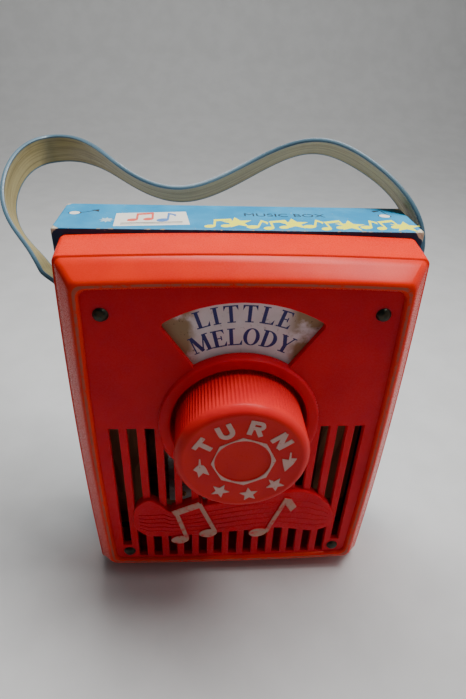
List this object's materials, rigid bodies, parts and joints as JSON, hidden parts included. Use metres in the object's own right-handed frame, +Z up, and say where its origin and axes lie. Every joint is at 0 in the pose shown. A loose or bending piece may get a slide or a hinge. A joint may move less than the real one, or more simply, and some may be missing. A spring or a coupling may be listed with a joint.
{
  "type": "wind-up music box",
  "caption": "Wind-up music box in a pocket radio case: papered wooden frame, moulded front cover with grille, song window and winding knob, clockwork comb movement, carry strap.",
  "frame": {"origin": "on the floor, on the centre line, at the parting plane between the wooden case and the front cover", "axes": "+Z up, front towards -Y, +X to the right as seen from the front"},
  "size_m": [0.1388, 0.1109, 0.1539],
  "materials": {
    "red_plastic": "moulded polystyrene, worn at the raised edges",
    "knob_plastic": "moulded plastic with fine ribs round the side",
    "pine": "bare sawn pine",
    "hardboard": "smooth pressed board",
    "blue_paper": "printed paper glued to the wood, edges rubbed through",
    "card": "printed card, stained with age",
    "strap_vinyl": "two-tone soft vinyl: pale inside, grey-blue outside",
    "dark_steel": "tarnished domed nails",
    "steel": "plain bright steel",
    "brass": "cut brass",
    "spring_steel": "tempered spring steel"
  },
  "bodies": {
    "root": {"front_cover": "red_plastic", "case_top_board": "pine", "case_bottom_board": "pine", "case_left_board": "pine", "case_right_board": "pine", "back_panel": "hardboard", "case_paper": "blue_paper", "back_paper": "blue_paper", "song_card": "card", "cover_nail_1": "dark_steel", "cover_nail_2": "dark_steel", "cover_nail_3": "dark_steel", "cover_nail_4": "dark_steel", "back_nail_1": "dark_steel", "back_nail_2": "dark_steel", "back_nail_3": "dark_steel", "back_nail_4": "dark_steel", "strap_nail_left": "dark_steel", "strap_nail_right": "dark_steel", "frame_nail_1": "steel", "frame_nail_2": "steel", "frame_nail_3": "steel", "frame_nail_4": "steel", "spring_housing": "steel", "comb_block": "steel", "comb_screw_1": "steel", "comb_screw_2": "steel", "comb_block_screw": "steel", "bedplate": "steel", "rear_plate": "steel", "pillar_screw_1": "steel", "pillar_screw_2": "steel", "pillar_screw_3": "steel", "pillar_screw_4": "steel", "mount_screw_1": "steel", "mount_screw_2": "steel", "mount_screw_3": "steel", "mount_screw_4": "steel", "pillar_1": "brass", "pillar_2": "brass", "pillar_3": "brass", "pillar_4": "brass", "mainspring": "spring_steel", "comb": "spring_steel"},
    "winder": {"winding_knob": "knob_plastic", "winding_arbor": "steel", "main_wheel": "brass"},
    "cylinder": {"pin_cylinder": "brass", "cylinder_shaft": "steel", "cylinder_pinion": "brass", "cylinder_wheel": "brass"},
    "governor": {"governor_arbor": "steel", "governor_pinion": "brass", "governor_wheel": "brass"},
    "fan": {"fan_arbor": "steel", "fan_pinion": "brass", "air_fan": "steel"},
    "strap": {"carry_strap": "strap_vinyl"}
  },
  "joints": [
    {"name": "knob_turn", "type": "hinge", "parent": "root", "child": "winder", "pos_m": [0, 0, 0.07735], "axis": [0, 1, 0], "continuous": true},
    {"name": "cylinder_turn", "type": "hinge", "parent": "root", "child": "cylinder", "pos_m": [-0.01372, 0.005, 0.05914], "axis": [0, 1, 0], "continuous": true},
    {"name": "governor_turn", "type": "hinge", "parent": "root", "child": "governor", "pos_m": [-0.00069, 0.005, 0.05278], "axis": [0, 1, 0], "continuous": true},
    {"name": "fan_turn", "type": "hinge", "parent": "root", "child": "fan", "pos_m": [0.01162, 0.005, 0.05061], "axis": [0, 1, 0], "continuous": true},
    {"name": "strap_swing", "type": "hinge", "parent": "root", "child": "strap", "pos_m": [0, 0.011, 0.10535], "axis": [1, 0, 0], "range_deg": [-100, 60]}
  ],
  "couplings": [
    {"joint": "cylinder_turn", "follows": "knob_turn", "ratio": -3.75},
    {"joint": "governor_turn", "follows": "knob_turn", "ratio": 18},
    {"joint": "fan_turn", "follows": "knob_turn", "ratio": -72}
  ]
}
